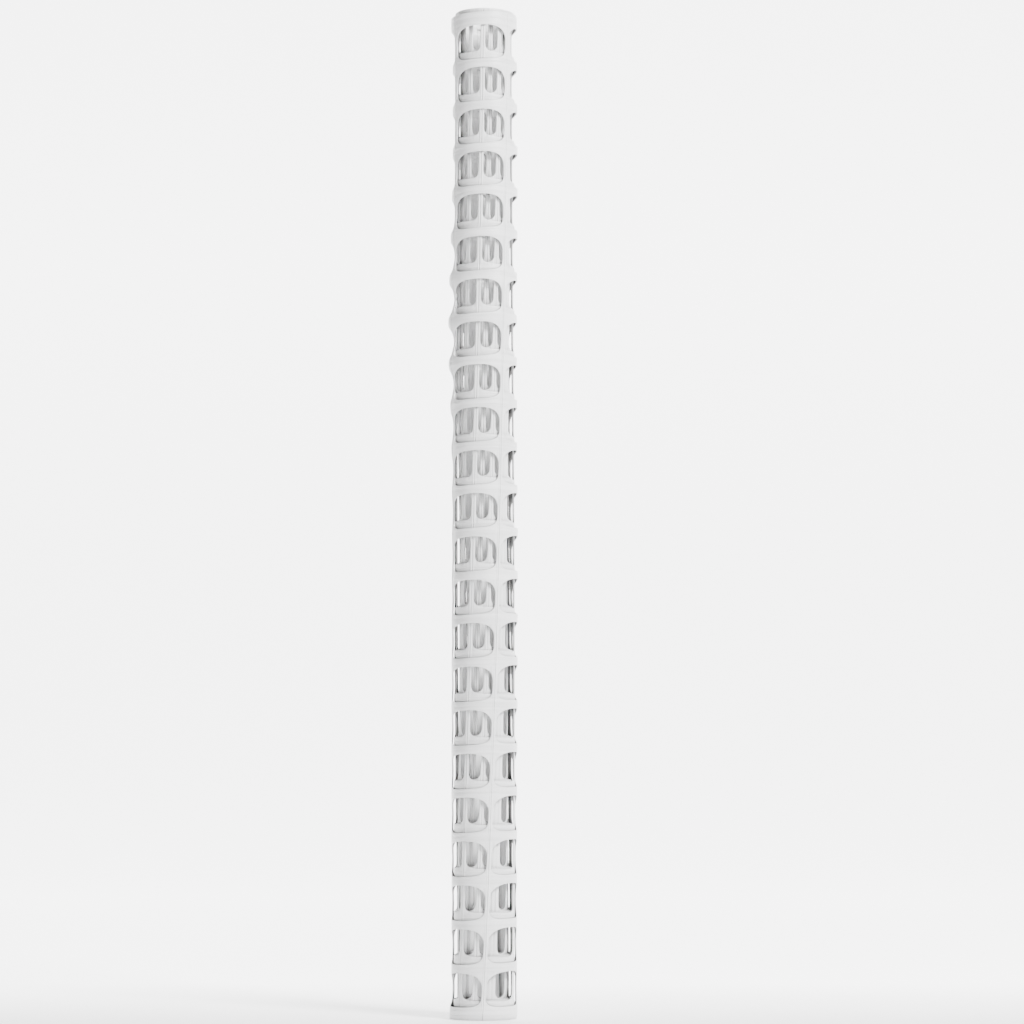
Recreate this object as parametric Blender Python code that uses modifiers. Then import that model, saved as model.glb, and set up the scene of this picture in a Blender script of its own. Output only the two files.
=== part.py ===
"""Tree guard tube: one strip of white plastic mesh, rolled up to wrap a young trunk.

The strip is a ladder of upright ribs joined by level bands, with a wide rounded opening in each
gap. Its turns lie on a spiral round an open bore, and the outer turn peels open. The mesh bends
where its bands cross the openings, so the strip is parted there, midway between ribs: each panel
is one rib with the half bands on either side of it. The panels of the outer turn are hinged one
to the next, and the rest make the roll that they open from. The roll's panels bend further round
the bore, so each is parted once more, along the middle of its rib.

Metres, +Z up. The origin is on the tube's axis at its foot, and the front of the tube faces -Y.
"""

import math

import bmesh
import bpy
from mathutils import Matrix, Vector

# The strip, laid flat
GUARD_HEIGHT = 1.0
SHEET_THICKNESS = 0.0007
RIB_COUNT = 20
RIB_PITCH = 0.0535
RIB_WIDTH = 0.0045
OPENING_ROWS = 23
BAND_HEIGHT = 0.007
TOP_HEM = 0.016
BOTTOM_HEM = 0.013
CORNER_RUN = 0.012
CORNER_RISE = 0.007
EDGE_STUB = 0.003

# The roll
BORE_RADIUS = 0.021
TURN_GAP = 0.0011
FREE_EDGE_ANGLE = math.radians(139)

# Where the strip is parted
HINGED_PANELS = 4
FOLD_GAP = 0.0005

# Flat facets stand in for the curve of a turn, and keep this far from the turn inside them
FACET_CLEARANCE = 0.0001

STRIP_LENGTH = (RIB_COUNT - 1) * RIB_PITCH + RIB_WIDTH + 2 * EDGE_STUB
TURN_PITCH = SHEET_THICKNESS + TURN_GAP
INNER_RADIUS = BORE_RADIUS + SHEET_THICKNESS / 2
OUTER_RADIUS = math.sqrt(INNER_RADIUS**2 + TURN_PITCH * STRIP_LENGTH / math.pi)
OPENING_HEIGHT = (
    GUARD_HEIGHT - TOP_HEM - BOTTOM_HEM - (OPENING_ROWS - 1) * BAND_HEIGHT
) / OPENING_ROWS

COLOUR = (0.86, 0.86, 0.86, 1.0)
ROUGHNESS = 0.45


def clear_scene():
    for obj in list(bpy.data.objects):
        bpy.data.objects.remove(obj)


def white_plastic():
    material = bpy.data.materials.new("white_polyethylene")
    material.use_nodes = True
    shader = material.node_tree.nodes["Principled BSDF"]
    shader.inputs["Base Color"].default_value = COLOUR
    shader.inputs["Roughness"].default_value = ROUGHNESS
    shader.inputs["Metallic"].default_value = 0.0
    return material


def turn_radius(distance):
    """Radius of the sheet's middle, this far along the strip from its outer free edge."""
    return math.sqrt(OUTER_RADIUS**2 - TURN_PITCH * distance / math.pi)


def on_roll(distance, height, outwards=0.0):
    """The place on the rolled strip of a point of the flat one, measured from its outer edge."""
    radius = turn_radius(distance)
    angle = FREE_EDGE_ANGLE - (OUTER_RADIUS - radius) * math.tau / TURN_PITCH
    reach = radius + outwards
    return Vector((reach * math.cos(angle), reach * math.sin(angle), height))


def rib_distance(rib):
    """Ribs are counted from the outer free edge."""
    return EDGE_STUB + RIB_WIDTH / 2 + rib * RIB_PITCH


def fold_line(rib):
    """The hinge axis on the core side of a rib, at the sheet's outer face, midway to the next."""
    return on_roll(rib_distance(rib) + RIB_PITCH / 2, 0.0, SHEET_THICKNESS / 2)


def facet_ends(start, end, radius):
    """The far ends of the equal facets from start to end, short enough to clear the turn inside."""
    longest = math.sqrt(8 * radius * (TURN_GAP - FACET_CLEARANCE))
    count = math.ceil((end - start) / longest)
    return [start + (end - start) * (step + 1) / count for step in range(count)]


def side_columns(joined, radius):
    """Distances from a rib's middle to its edge, and on through the corner flare to the panel's edge."""
    rib_edge = RIB_WIDTH / 2
    if not joined:
        return [rib_edge, rib_edge + EDGE_STUB]
    flare_end = rib_edge + CORNER_RUN
    fold_edge = (RIB_PITCH - FOLD_GAP) / 2
    flare = facet_ends(rib_edge, flare_end, radius)
    return [rib_edge] + flare + facet_ends(flare_end, fold_edge, radius)


def line_height(line, flare):
    """Height of a level edge: the foot, then each opening's bottom and top, then the head."""
    if line == 0:
        return 0.0
    if line == 2 * OPENING_ROWS + 1:
        return GUARD_HEIGHT
    opening, is_top = divmod(line - 1, 2)
    bottom = BOTTOM_HEM + opening * (OPENING_HEIGHT + BAND_HEIGHT)
    if is_top:
        return bottom + OPENING_HEIGHT - flare
    return bottom + flare


def corner_flare(distance_from_rib):
    """How far the rounded corner narrows an opening, this far from the middle of its rib."""
    into_opening = distance_from_rib - RIB_WIDTH / 2
    return CORNER_RISE * max(0.0, 1.0 - into_opening / CORNER_RUN)


def panel_columns(rib):
    """Name and columns of each solid in a panel, as distances towards the core from its rib's middle."""
    radius = turn_radius(rib_distance(rib))
    coreward = side_columns(rib < RIB_COUNT - 1, radius)[::-1]
    edgeward = [-step for step in side_columns(rib > 0, radius)]
    name = f"mesh_panel_{RIB_COUNT - rib:02d}"
    if rib < HINGED_PANELS:
        return [(name, coreward + edgeward)]
    return [
        (name + "_coreward", coreward + [FOLD_GAP / 2]),
        (name + "_edgeward", [-FOLD_GAP / 2] + edgeward),
    ]


def panel_sheet(name, rib, offsets):
    """An open sheet of a rib and its half bands: a grid with the openings' faces taken out."""
    columns = len(offsets) - 1
    lines = 2 * OPENING_ROWS + 1

    bm = bmesh.new()
    bmesh.ops.create_grid(bm, x_segments=columns, y_segments=lines, size=0.5)
    cell = {}
    for vert in bm.verts:
        cell[vert] = round((vert.co.x + 0.5) * columns), round((vert.co.y + 0.5) * lines)

    def in_opening(face):
        reach = max(abs(offsets[cell[vert][0]]) for vert in face.verts)
        line = min(cell[vert][1] for vert in face.verts)
        return line % 2 == 1 and reach > RIB_WIDTH / 2

    openings = [face for face in bm.faces if in_opening(face)]
    for vert, (column, line) in cell.items():
        offset = offsets[column]
        height = line_height(line, corner_flare(abs(offset)))
        vert.co = on_roll(rib_distance(rib) + offset, height)
    bmesh.ops.delete(bm, geom=openings, context="FACES")

    mesh = bpy.data.meshes.new(name)
    bm.to_mesh(mesh)
    bm.free()
    return mesh


def make_panel(name, rib, offsets, material, collection):
    """One solid of the strip, thickened equally to both sides of the sheet."""
    panel = bpy.data.objects.new(name, panel_sheet(name, rib, offsets))
    panel.data.materials.append(material)
    collection.objects.link(panel)
    solidify = panel.modifiers.new("sheet_thickness", "SOLIDIFY")
    solidify.thickness = SHEET_THICKNESS
    solidify.offset = 0.0
    solidify.use_even_offset = True
    return panel


def hang_on_fold(panel, rib, carrier):
    """Puts a panel's origin on its fold line and parents it to the panel that carries it."""
    fold = fold_line(rib)
    panel.data.transform(Matrix.Translation(-fold))
    panel.parent = carrier
    panel.location = fold - carrier.matrix_world.translation
    bpy.context.view_layer.update()


def build_guard():
    """The panels from the innermost, number 01, to the one at the outer free edge."""
    collection = bpy.data.collections.new("tree_guard_tube")
    bpy.context.scene.collection.children.link(collection)
    material = white_plastic()
    carrier = None
    for rib in reversed(range(RIB_COUNT)):
        for name, offsets in panel_columns(rib):
            panel = make_panel(name, rib, offsets, material, collection)
        if rib < HINGED_PANELS:
            hang_on_fold(panel, rib, carrier)
        carrier = panel


clear_scene()
build_guard()
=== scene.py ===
"""Looks of the tree guard tube: a strip of white plastic mesh, wound loosely into a tall slim roll.

Each piece is one upright rib with its halves of the openings on either side, and stands for the CAD panel
with the same number. The strip is laid out flat, as distances from its outer free edge and heights, then
wound on the roll's spiral. Neighbouring pieces meet on the CAD's fold lines.
"""

import math

import bpy
import numpy as np
from mathutils import Euler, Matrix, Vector


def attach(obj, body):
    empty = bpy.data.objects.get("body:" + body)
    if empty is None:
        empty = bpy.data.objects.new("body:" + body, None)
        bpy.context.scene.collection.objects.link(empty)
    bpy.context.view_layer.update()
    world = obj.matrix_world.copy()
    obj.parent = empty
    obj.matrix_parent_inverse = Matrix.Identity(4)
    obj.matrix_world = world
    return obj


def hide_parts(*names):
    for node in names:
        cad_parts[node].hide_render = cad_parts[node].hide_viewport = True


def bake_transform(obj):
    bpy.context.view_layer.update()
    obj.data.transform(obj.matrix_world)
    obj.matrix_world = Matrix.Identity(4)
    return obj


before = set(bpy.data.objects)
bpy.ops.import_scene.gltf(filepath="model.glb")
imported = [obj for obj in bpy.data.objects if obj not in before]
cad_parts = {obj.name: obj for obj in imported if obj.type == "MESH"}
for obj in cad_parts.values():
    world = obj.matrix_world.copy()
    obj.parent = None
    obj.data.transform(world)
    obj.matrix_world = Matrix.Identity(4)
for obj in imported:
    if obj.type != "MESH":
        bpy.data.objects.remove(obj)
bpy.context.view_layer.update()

# The strip, as in the CAD
RIB_COUNT = 20
RIB_PITCH = 0.0535
RIB_WIDTH = 0.0045
EDGE_STUB = 0.003
OPENING_ROWS = 23
FIRST_ROW = 0.03076
ROW_PITCH = 0.04252
CORE_RADIUS = 0.02135
TURN_PITCH = 0.0018
FREE_EDGE_ANGLE = math.radians(139)
HINGED_PANELS = 4
FIRST_RIB = EDGE_STUB + RIB_WIDTH / 2

# Its finer shape
OPENING_HEIGHT = 0.0342
OUTER_TOP_ROUNDNESS = 2.7
OUTER_BOTTOM_ROUNDNESS = 4.5
INNER_ROUNDNESS = 6.0
BAND_THICKNESS = 0.0008
RIB_THICKNESS = 0.0011
RIM_THINNING = 0.45
FOOT = 0.0
HEAD = 0.9965
SIDE_CELLS = 20
CELL_CROWDING = 1.7
STRAND_WIDTH = 0.0038
STRAND_CELLS = 6
STRAND_ROUNDNESS = 0.6
GROOVE = 0.3
CREST = 1.4
BAND_STEPS = (0.0, 0.08, 0.25, 0.5, 0.75, 0.92, 1.0)
SHARP_EDGE = math.radians(70)
WELD_DIGITS = 7

# How it lies: the ribs lean, the inner turns stand higher, and the outer turn sags and bulges
LEAN_AT_FOOT = -0.0159
LEAN_SLOPE = 0.0411
LEAN_CURVE = -0.0152
INNER_RISE = 0.0055
RISE_START = 0.9
RISE_LENGTH = 0.06
CORE_RISE = 0.0025
HEM_SETTLING = 0.6
HEM_SPREAD = 0.012
SAG = 0.0030
SAG_DISTANCE = 0.165
SAG_WIDTH = 0.055
SAG_START = 0.03
LOOSE_TURN = 0.93
LOOSE_FADE = 0.004
LOOSE_BAND = 0.0006
LOOSE_SWING = 0.7
INNER_WAVE = 0.00015
LEFT_SIDE = 0.178
LEFT_BULGE = 0.0045
LEFT_BULGE_PLACES = ((0.685, 0.10),)
RIGHT_SIDE = 0.078
RIGHT_BULGE = 0.0008
RIGHT_BULGE_PLACES = ((0.43, 0.16), (0.83, 0.07))
BULGE_SPREAD = 0.03
RIM_CREVICE = 0.0020
RIM_SPREAD = 0.03
FOOT_FLARE = 0.0022
FOOT_SPREAD = 0.025

# Looks of the plastic
UPRIGHT_LINES = (300, 300, 6)
LEVEL_LINES = (9, 9, 280)
BAND_CONTRAST = 1.5
CLOUD_SCALE = 35
CLOUD_SPAN = (0.3, 0.7)
CLOUD_TONES = ((0.82, 0.825, 0.83, 1), (0.90, 0.90, 0.895, 1))
# Painted shade: an ambient occlusion node darkens the colour in creases and slots, over this reach and down
# to these tones
CREASE_SHADE_REACH = 0.012
PAINTED_SHADE_SPAN = (0.08, 0.75)
PAINTED_SHADE_TONES = ((0.10, 0.10, 0.10, 1), (1, 1, 1, 1))
STREAK_SPAN = (0.35, 0.6)
STREAK_TONES = (0.88, 1.0)
ROUGHNESS = (0.30, 0.50)
LINE_STRENGTH = 0.8
LINE_DEPTH = 0.0015
TRANSLUCENCE = 0.04

# Looks of the floor, whose glow grows over this span from front to back
FLOOR_TONES = ((0.93, 0.93, 0.93, 1), (0.95, 0.95, 0.95, 1))
GLOW_SPAN = (-0.1, 0.5)
GLOW = (0.8, 4.0)

STRIP_LENGTH = (RIB_COUNT - 1) * RIB_PITCH + RIB_WIDTH + 2 * EDGE_STUB
OUTER_RADIUS = math.sqrt(CORE_RADIUS**2 + TURN_PITCH * STRIP_LENGTH / math.pi)
OUTER_TURN = math.tau * OUTER_RADIUS

# By rib, counted from 0 at the outer free edge: widths unlike RIB_WIDTH, and shifts towards that edge
RIB_WIDTHS = {
    0: 0.0036, 1: 0.0036, 2: 0.0036, 3: 0.0036,
    7: 0.008, 8: 0.009, 12: 0.012, 14: 0.0205, 16: 0.0205, 17: 0.0205, 19: 0.020
}
RIB_DRIFT = {
    3: -0.004, 5: 0.008, 6: -0.002, 7: 0.012, 9: -0.003, 12: 0.004, 13: 0.0135, 15: -0.006
}
SEED = 7
row_looseness = np.random.default_rng(SEED).uniform(-1, 1, (RIB_COUNT + 1, OPENING_ROWS + 2))


def lean(height):
    """How far the strip has moved round the roll at a height, towards its free edge."""
    return LEAN_AT_FOOT + LEAN_SLOPE * height + LEAN_CURVE * height**2


def rib_distance(rib, height):
    """Where a rib's middle crosses a height, measured from the free edge."""
    return FIRST_RIB + rib * RIB_PITCH - RIB_DRIFT.get(rib, 0.0) - lean(height)


def rib_width(rib):
    """The outer turn's ribs were stretched most, and some inner ones less, so those are left wide."""
    return RIB_WIDTHS.get(rib, RIB_WIDTH)


def strands(rib):
    """Places across a rib, as shares of its width, and how thick it is there: grooves part its strands."""
    count = max(2, round(rib_width(rib) / STRAND_WIDTH))
    across = np.linspace(-0.5, 0.5, STRAND_CELLS * count + 1)[1:-1]
    swell = np.abs(np.sin(np.pi * count * (across + 0.5))) ** STRAND_ROUNDNESS
    return across, RIB_THICKNESS * (GROOVE + (CREST - GROOVE) * swell)


def fold_distance(rib, side):
    """Where a piece ends, on the core side (1) or the edge side (-1) of its rib."""
    return FIRST_RIB + (rib + side / 2) * RIB_PITCH


def row_height(row):
    """The middle of a row of openings."""
    return FIRST_ROW + row * ROW_PITCH


def roundness(gap, rise):
    """How square an opening's corners are: the outer turn's are wide arches at the top."""
    if gap >= HINGED_PANELS:
        return INNER_ROUNDNESS
    return OUTER_TOP_ROUNDNESS if rise > 0 else OUTER_BOTTOM_ROUNDNESS


def opening_edge(rib, side, middle, rise):
    """Distances and heights along half an opening's edge, from the rib to where the piece ends."""
    if not 0 <= rib + side < RIB_COUNT:
        out = rib_width(rib) / 2 + EDGE_STUB * np.linspace(0, 1, SIDE_CELLS + 1)
        return rib_distance(rib, middle) + side * out, np.full(SIDE_CELLS + 1, middle)
    fold = fold_distance(rib, side)
    near, far = rib_width(rib) / 2, rib_width(rib + side) / 2

    def centre(height):
        return (rib_distance(rib, height) + rib_distance(rib + side, height) + side * (near - far)) / 2

    half = (abs(rib_distance(rib + side, middle) - rib_distance(rib, middle)) - near - far) / 2
    end = side * (centre(middle + rise) - fold) / half
    across = 1 - (1 - end) * np.linspace(0, 1, SIDE_CELLS + 1) ** CELL_CROWDING
    corner = roundness(min(rib, rib + side), rise)
    heights = middle + rise * (1 - np.abs(across) ** corner) ** (1 / corner)
    distances = centre(heights) - side * half * across
    distances[-1] = fold
    return distances, heights


def strip_line(rib, middle, rise):
    """One line across a whole piece, from its edge side to its core side."""
    edgeward = opening_edge(rib, -1, middle, rise)
    coreward = opening_edge(rib, 1, middle, rise)
    across = rib_width(rib) * strands(rib)[0]
    distances = np.concatenate([edgeward[0][::-1], rib_distance(rib, middle) + across, coreward[0]])
    heights = np.concatenate([edgeward[1][::-1], np.full(len(across), middle), coreward[1]])
    return np.stack([distances, heights], -1)


def flat_panel(rib):
    """The piece laid flat: points, faces, and how thick the sheet is at each point."""
    strand_thickness = strands(rib)[1]
    columns = 2 * (SIDE_CELLS + 1) + len(strand_thickness)
    steps = np.array(BAND_STEPS)[:, None, None]
    inside = np.zeros(columns, bool)
    inside[SIDE_CELLS + 1 : -SIDE_CELLS - 1] = True
    thickness = np.full(columns, BAND_THICKNESS)
    thickness[inside] = strand_thickness
    lines = np.arange(len(BAND_STEPS) - 1)[:, None] * columns + np.arange(columns - 1)
    quads = np.stack([lines, lines + 1, lines + columns + 1, lines + columns], -1).reshape(-1, 4)
    points, faces, thick = [], [], []
    for band in range(OPENING_ROWS + 1):
        foot, head = band == 0, band == OPENING_ROWS
        low = strip_line(rib, FOOT, 0.0) if foot else strip_line(
            rib, row_height(band - 1), OPENING_HEIGHT / 2
        )
        high = strip_line(rib, HEAD, 0.0) if head else strip_line(
            rib, row_height(band), -OPENING_HEIGHT / 2
        )
        rim = np.tile(thickness, (len(BAND_STEPS), 1))
        rim[0] *= np.where(inside & (not foot), 1.0, RIM_THINNING)
        rim[-1] *= np.where(inside & (not head), 1.0, RIM_THINNING)
        points.append((low + (high - low) * steps).reshape(-1, 2))
        faces.append(quads + band * len(BAND_STEPS) * columns)
        thick.append(rim.ravel())
    points, faces, thick = np.concatenate(points), np.concatenate(faces), np.concatenate(thick)
    _, kept, joined = np.unique(
        np.round(points, WELD_DIGITS), axis=0, return_index=True, return_inverse=True
    )
    return points[kept], joined.ravel()[faces], thick[kept]


def hump(value, peak, width):
    return np.exp(-(((value - peak) / width) ** 2))


def bulge(distance, height, size, side, places):
    """A swelling on one side of the roll, at each height and spread of places."""
    heights = sum(hump(height, middle, spread) for middle, spread in places)
    return size * heights * hump(distance, side, BULGE_SPREAD)


def looseness(distance, height):
    """How far the sheet stands out from an even spiral: the outer turn most, at its bands."""
    place = (distance + lean(height) - FIRST_RIB) / RIB_PITCH
    gap = np.clip(np.floor(place).astype(int) + 1, 0, RIB_COUNT)
    row = np.clip((height - FIRST_ROW) / ROW_PITCH + 1, 0, OPENING_ROWS + 1)
    below = np.floor(row).astype(int).clip(0, OPENING_ROWS)
    share = row - below
    swing = row_looseness[gap, below] * (1 - share) + row_looseness[gap, below + 1] * share
    arc = np.sin(np.pi * place) ** 2
    band = np.cos(np.pi * (row - 0.5)) ** 2
    left = bulge(distance, height, LEFT_BULGE, LEFT_SIDE, LEFT_BULGE_PLACES)
    right = bulge(distance, height, RIGHT_BULGE, RIGHT_SIDE, RIGHT_BULGE_PLACES)
    crevice = bulge(distance, height, RIM_CREVICE, SAG_DISTANCE, ((HEAD, RIM_SPREAD),))
    flare = bulge(distance, height, FOOT_FLARE, SAG_DISTANCE, ((FOOT, FOOT_SPREAD),))
    loose = band * (LOOSE_BAND * (1 + LOOSE_SWING * arc * swing) + left + right) + crevice + flare
    outer = 1 / (1 + np.exp((distance - LOOSE_TURN * OUTER_TURN) / LOOSE_FADE))
    return outer * loose + (1 - outer) * arc * INNER_WAVE * swing


def wound(distance, height, outwards):
    """Points of the flat strip, wound on the roll."""
    radius = np.sqrt(OUTER_RADIUS**2 - TURN_PITCH * distance / np.pi)
    angle = FREE_EDGE_ANGLE - (OUTER_RADIUS - radius) * math.tau / TURN_PITCH
    reach = radius + looseness(distance, height) + outwards
    past = np.clip(distance - RISE_START * OUTER_TURN, 0, None)
    rise = INNER_RISE * (1 - np.exp(-past / RISE_LENGTH)) + CORE_RISE * past / STRIP_LENGTH
    rise = rise * (1 - HEM_SETTLING * hump(height, HEAD, HEM_SPREAD))
    sag = SAG * hump(distance, SAG_DISTANCE, SAG_WIDTH) * np.clip(height / SAG_START, 0, 1)
    return np.stack([reach * np.cos(angle), reach * np.sin(angle), height + rise - sag], -1)


def rims(faces):
    """Edges that belong to one face only, in that face's order."""
    edges = np.concatenate([np.stack([faces[:, n], faces[:, (n + 1) % 4]], -1) for n in range(4)])
    _, first, count = np.unique(np.sort(edges, 1), axis=0, return_index=True, return_counts=True)
    return edges[first[count == 1]]


def sheet_normal(distance, height):
    """Unit normals of the wound sheet, pointing outwards."""
    step = 1e-5
    along = wound(distance + step, height, 0.0) - wound(distance - step, height, 0.0)
    up = wound(distance, height + step, 0.0) - wound(distance, height - step, 0.0)
    normal = np.cross(up, along)
    return normal / np.linalg.norm(normal, axis=1, keepdims=True)


def smooth_over_folds(mesh, rib, points, solid, sheet_faces):
    """Gives neighbouring pieces the same normals where they meet, so that no seam shows."""
    at_fold = np.isin(points[:, 0], [fold_distance(rib, -1), fold_distance(rib, 1)])
    normal = np.where(at_fold[:, None], sheet_normal(points[:, 0], points[:, 1]), 0.0)
    corner_normals = np.concatenate([normal, -normal])[solid]
    corner_normals[sheet_faces:] = 0.0
    mesh.normals_split_custom_set(corner_normals.reshape(-1, 3).tolist())


def make_panel(rib, material):
    """One piece, thickened to both sides of the sheet and closed along its edges."""
    points, faces, thick = flat_panel(rib)
    outer = wound(points[:, 0], points[:, 1], thick / 2)
    inner = wound(points[:, 0], points[:, 1], -thick / 2)
    count = len(points)
    edge = rims(faces)
    walls = np.stack([edge[:, 0], edge[:, 0] + count, edge[:, 1] + count, edge[:, 1]], -1)
    solid = np.concatenate([faces[:, ::-1], faces + count, walls])
    name = f"guard_panel_{RIB_COUNT - rib:02d}"
    mesh = bpy.data.meshes.new(name)
    mesh.from_pydata(np.concatenate([outer, inner]).tolist(), [], solid.tolist())
    mesh.polygons.foreach_set("use_smooth", [True] * len(mesh.polygons))
    mesh.set_sharp_from_angle(angle=SHARP_EDGE)
    smooth_over_folds(mesh, rib, points, solid, 2 * len(faces))
    mesh.materials.append(material)
    panel = bpy.data.objects.new(name, mesh)
    bpy.context.scene.collection.objects.link(panel)
    return panel


def shade(name):
    material = bpy.data.materials.new(name)
    material.use_nodes = True
    return material, material.node_tree


def add_node(tree, kind, inputs, **settings):
    """A new node, whose inputs are each given a value or joined to another node's output."""
    node = tree.nodes.new(kind)
    for setting, value in settings.items():
        setattr(node, setting, value)
    for name, value in inputs.items():
        set_input(tree, node, name, value)
    return node


def set_input(tree, node, name, value):
    if isinstance(value, bpy.types.NodeSocket):
        tree.links.new(value, node.inputs[name])
    else:
        node.inputs[name].default_value = value


def noise(tree, place, scale, detail):
    inputs = {"Vector": place, "Scale": scale, "Detail": detail}
    return add_node(tree, "ShaderNodeTexNoise", inputs).outputs["Fac"]


def stretched_noise(tree, place, stretch, detail):
    drawn = add_node(tree, "ShaderNodeMapping", {"Vector": place, "Scale": stretch})
    return noise(tree, drawn.outputs["Vector"], 1.0, detail)


def arithmetic(tree, operation, value, other):
    return add_node(tree, "ShaderNodeMath", {0: value, 1: other}, operation=operation).outputs["Value"]


def blended_tones(tree, value, span, tones):
    ramp = add_node(tree, "ShaderNodeValToRGB", {"Fac": value})
    for element, position, colour in zip(ramp.color_ramp.elements, span, tones):
        element.position = position
        element.color = colour
    return ramp.outputs["Color"]


def rescaled(tree, value, source, target):
    inputs = {
        "Value": value,
        "From Min": source[0],
        "From Max": source[1],
        "To Min": target[0],
        "To Max": target[1],
    }
    return add_node(tree, "ShaderNodeMapRange", inputs).outputs["Result"]


def multiplied(tree, colour, factor):
    inputs = {"Factor": 1.0, "A": colour, "B": factor}
    mix = add_node(tree, "ShaderNodeMix", inputs, data_type="RGBA", blend_type="MULTIPLY")
    return mix.outputs["Result"]


def drawn_lines(tree, place):
    """Fine lines where the mesh was stretched: level ones on the bands, upright ones between them."""
    height = add_node(tree, "ShaderNodeSeparateXYZ", {"Vector": place}).outputs["Z"]
    turned = arithmetic(tree, "MULTIPLY", height, math.tau / ROW_PITCH)
    turned = arithmetic(tree, "SUBTRACT", turned, math.tau * (FIRST_ROW / ROW_PITCH + 0.5))
    on_band = arithmetic(tree, "MULTIPLY", arithmetic(tree, "COSINE", turned, 0.0), BAND_CONTRAST)
    upright = stretched_noise(tree, place, UPRIGHT_LINES, detail=2.0)
    level = stretched_noise(tree, place, LEVEL_LINES, detail=3.0)
    inputs = {"Factor": on_band, "A": upright, "B": level}
    return add_node(tree, "ShaderNodeMix", inputs, clamp_factor=True).outputs["Result"]


def plastic():
    """Satin white polyethylene: a little cloudy, drawn in fine lines, and with painted shade greying its
    creases.
    """
    material, tree = shade("white_polyethylene")
    place = add_node(tree, "ShaderNodeTexCoord", {}).outputs["Object"]
    lines = drawn_lines(tree, place)
    cloud = noise(tree, place, CLOUD_SCALE, detail=4.0)
    white = blended_tones(tree, cloud, CLOUD_SPAN, CLOUD_TONES)
    # Painted shade: ambient occlusion greys the white in creases and between the turns, where shade falls
    crease = add_node(tree, "ShaderNodeAmbientOcclusion", {"Distance": CREASE_SHADE_REACH}, samples=8)
    white = multiplied(tree, white, blended_tones(tree, crease.outputs["AO"], PAINTED_SHADE_SPAN, PAINTED_SHADE_TONES))
    white = multiplied(tree, white, rescaled(tree, lines, STREAK_SPAN, STREAK_TONES))
    relief = {"Strength": LINE_STRENGTH, "Distance": LINE_DEPTH, "Height": lines}
    bump = add_node(tree, "ShaderNodeBump", relief)

    shader = tree.nodes["Principled BSDF"]
    shader.inputs["IOR"].default_value = 1.51
    shader.inputs["Specular IOR Level"].default_value = 0.45
    set_input(tree, shader, "Base Color", white)
    set_input(tree, shader, "Roughness", rescaled(tree, lines, (0.0, 1.0), ROUGHNESS))
    set_input(tree, shader, "Normal", bump.outputs["Normal"])

    glow = add_node(tree, "ShaderNodeBsdfTranslucent", {"Color": white}).outputs["BSDF"]
    inputs = {"Fac": TRANSLUCENCE, 1: shader.outputs["BSDF"], 2: glow}
    mix = add_node(tree, "ShaderNodeMixShader", inputs)
    set_input(tree, tree.nodes["Material Output"], "Surface", mix.outputs["Shader"])
    return material


def build_guard(material):
    """Makes each piece and hides the CAD part it stands for: the inner turns' pieces go on the roll's body,
    and the outer turn's pieces get their place baked into their points.
    """
    for rib in range(RIB_COUNT):
        panel = make_panel(rib, material)
        number = f"mesh_panel_{RIB_COUNT - rib:02d}"
        if rib >= HINGED_PANELS:
            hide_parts(number + "_coreward", number + "_edgeward")
            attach(panel, "roll")
            continue
        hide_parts(number)
        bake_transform(panel)


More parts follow.
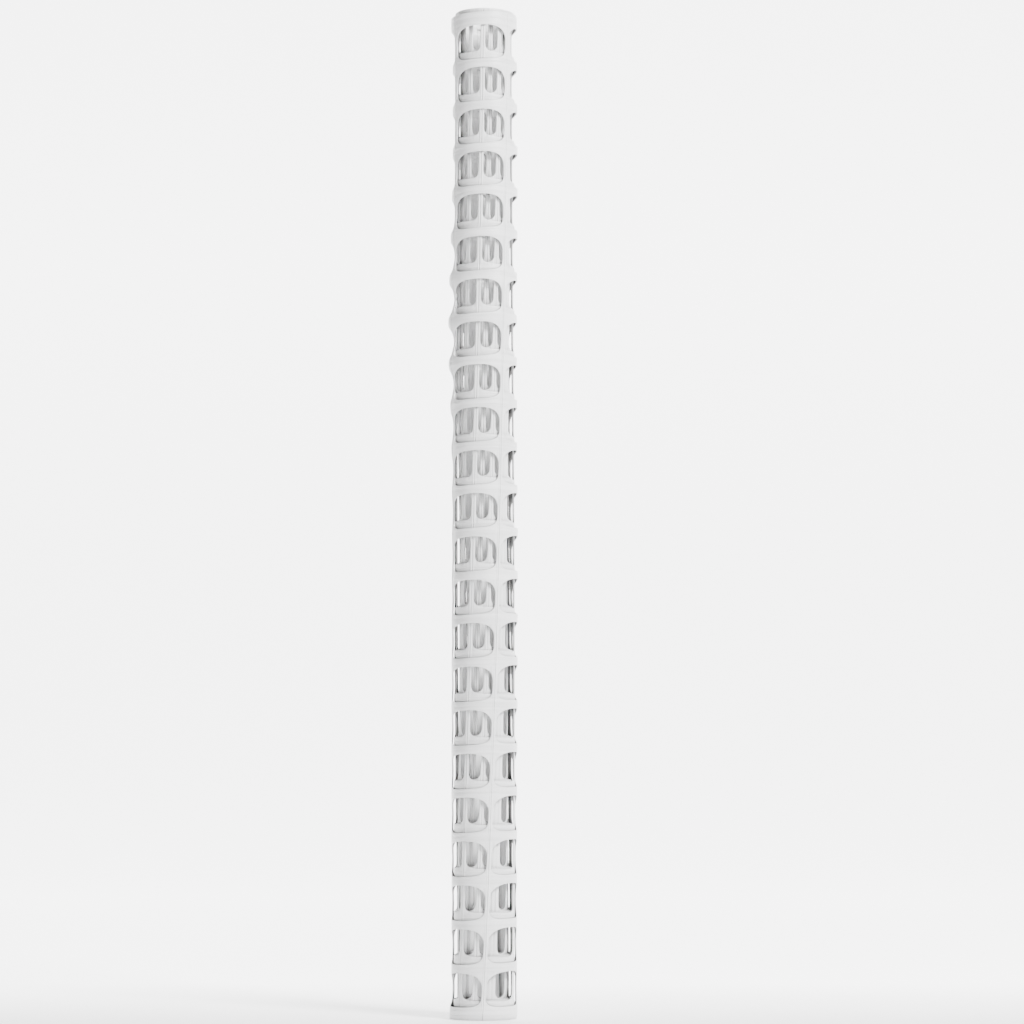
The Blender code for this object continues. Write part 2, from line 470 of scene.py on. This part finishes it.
def pale_floor():
    """Pale grey, glowing more towards the back so that the backdrop stays light."""
    material, tree = shade("pale_floor")
    grain = add_node(tree, "ShaderNodeTexNoise", {"Scale": 3.0}).outputs["Fac"]
    tones = blended_tones(tree, grain, (0.0, 1.0), FLOOR_TONES)
    place = add_node(tree, "ShaderNodeTexCoord", {}).outputs["Object"]
    depth = add_node(tree, "ShaderNodeSeparateXYZ", {"Vector": place}).outputs["Y"]
    shader = tree.nodes["Principled BSDF"]
    shader.inputs["Roughness"].default_value = 0.8
    shader.inputs["Emission Color"].default_value = (1, 1, 1, 1)
    set_input(tree, shader, "Base Color", tones)
    set_input(tree, shader, "Emission Strength", rescaled(tree, depth, GLOW_SPAN, GLOW))
    return material


def make_floor():
    """A pale floor that sweeps up into a backdrop."""
    half, front, back, bend, top = 6.0, -6.0, 3.0, 1.5, 6.0
    turn = np.linspace(0, math.pi / 2, 17)
    depth = np.concatenate([[front], back + bend * np.sin(turn), [back + bend]])
    rise = np.concatenate([[0.0], bend * (1 - np.cos(turn)), [top]])
    line = np.stack([depth, rise], -1)
    points = [(side, y, z) for y, z in line.tolist() for side in (-half, half)]
    faces = [(2 * n, 2 * n + 1, 2 * n + 3, 2 * n + 2) for n in range(len(line) - 1)]
    mesh = bpy.data.meshes.new("floor")
    mesh.from_pydata(points, [], faces)
    mesh.polygons.foreach_set("use_smooth", [True] * len(mesh.polygons))
    mesh.materials.append(pale_floor())
    floor = bpy.data.objects.new("floor", mesh)
    bpy.context.scene.collection.objects.link(floor)


def make_light(name, place, size, energy):
    """A square lamp that faces the middle of the tube."""
    data = bpy.data.lights.new(name, "AREA")
    data.shape = "SQUARE"
    data.size = size
    data.energy = energy
    light = bpy.data.objects.new(name, data)
    light.location = place
    middle = Vector((0, 0, 0.5))
    light.rotation_euler = (middle - light.location).to_track_quat("-Z", "Y").to_euler()
    bpy.context.scene.collection.objects.link(light)


def set_studio():
    world = bpy.data.worlds.new("soft_studio")
    world.use_nodes = True
    world.node_tree.nodes["Background"].inputs["Color"].default_value = (1, 1, 1, 1)
    world.node_tree.nodes["Background"].inputs["Strength"].default_value = 0.15
    bpy.context.scene.world = world
    make_light("key", place=(2.0, -2.2, 2.6), size=1.0, energy=390)
    camera = bpy.data.objects.new("camera", bpy.data.cameras.new("camera"))
    camera.data.lens = 108.5
    camera.data.sensor_width = 36
    camera.location = (0, -3.05, 0.24)
    camera.rotation_euler = Euler((math.radians(94.82), 0, math.radians(-0.52)))
    bpy.context.scene.collection.objects.link(camera)
    bpy.context.scene.camera = camera


build_guard(plastic())
make_floor()
set_studio()
